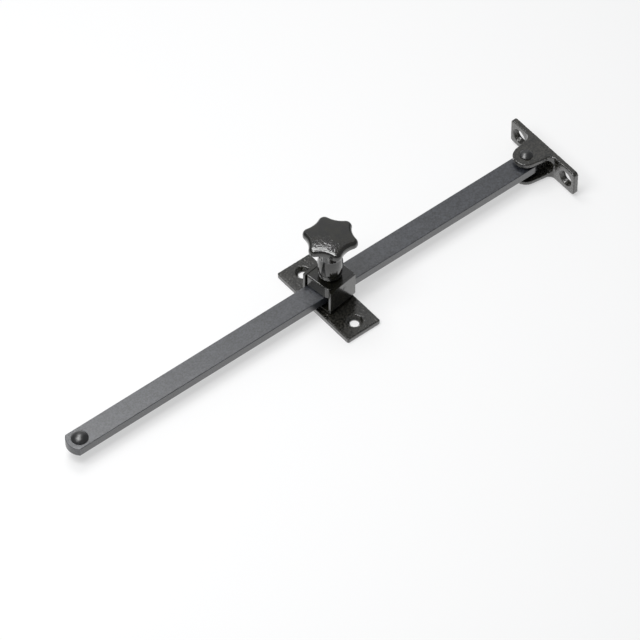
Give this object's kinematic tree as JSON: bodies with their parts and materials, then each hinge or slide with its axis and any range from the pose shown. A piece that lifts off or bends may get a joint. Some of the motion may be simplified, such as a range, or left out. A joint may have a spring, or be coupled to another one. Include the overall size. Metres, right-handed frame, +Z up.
{
  "type": "sliding casement stay",
  "caption": "Sliding window stay: a flat steel arm runs through a swivelling clamp with a star knob, and ends in a hinged sash bracket.",
  "frame": {"origin": "on the swivel axis, at the underside of the base plate", "axes": "+X along the arm towards the sash bracket, +Y along the base plate, +Z up out of the base plate, along the swivel axis"},
  "size_m": [0.3067, 0.0566, 0.0501],
  "materials": {
    "black_casting": "rough cast surface under satin black enamel",
    "black_strip": "satin black enamel on smooth strip",
    "black_rivet": "satin black enamel",
    "arm_steel": "fine grained dark grey satin coating",
    "washer_steel": "plain turned steel",
    "screw_steel": "dark oiled steel thread",
    "pad_brass": "turned brass"
  },
  "bodies": {
    "base": {"base_plate": "black_casting", "swivel_rivet": "black_rivet", "swivel_washer": "washer_steel"},
    "clamp": {"swivel_channel": "black_strip", "bridge_block": "black_casting", "bridge_pins": "black_rivet"},
    "arm": {"arm_bar": "arm_steel", "stop_rivet": "black_rivet"},
    "bracket": {"hinge_bracket": "black_casting", "hinge_rivet": "black_rivet"},
    "pad": {"pressure_pad": "pad_brass"},
    "knob": {"clamp_screw": "screw_steel", "star_knob": "black_casting"}
  },
  "joints": [
    {"name": "clamp_swivel", "type": "hinge", "parent": "base", "child": "clamp", "pos_m": [0, 0, 0], "axis": [0, 0, 1], "continuous": true},
    {"name": "arm_slide", "type": "slide", "parent": "clamp", "child": "arm", "axis": [1, 0, 0], "range_m": [-0.0702, 0.1442]},
    {"name": "bracket_pivot", "type": "hinge", "parent": "arm", "child": "bracket", "pos_m": [0.13, 0.0006, 0.009], "axis": [0, 0, 1], "range_deg": [-95, 95]},
    {"name": "pad_lift", "type": "slide", "parent": "clamp", "child": "pad", "axis": [0, 0, 1], "range_m": [0, 0.002]},
    {"name": "knob_turn", "type": "hinge", "parent": "pad", "child": "knob", "pos_m": [0.00109, 0.00013, 0.0135], "axis": [0, 0, 1], "range_deg": [0, 720]}
  ],
  "couplings": [
    {"joint": "knob_turn", "follows": "pad_lift", "rad_per_m": 6283.2}
  ]
}
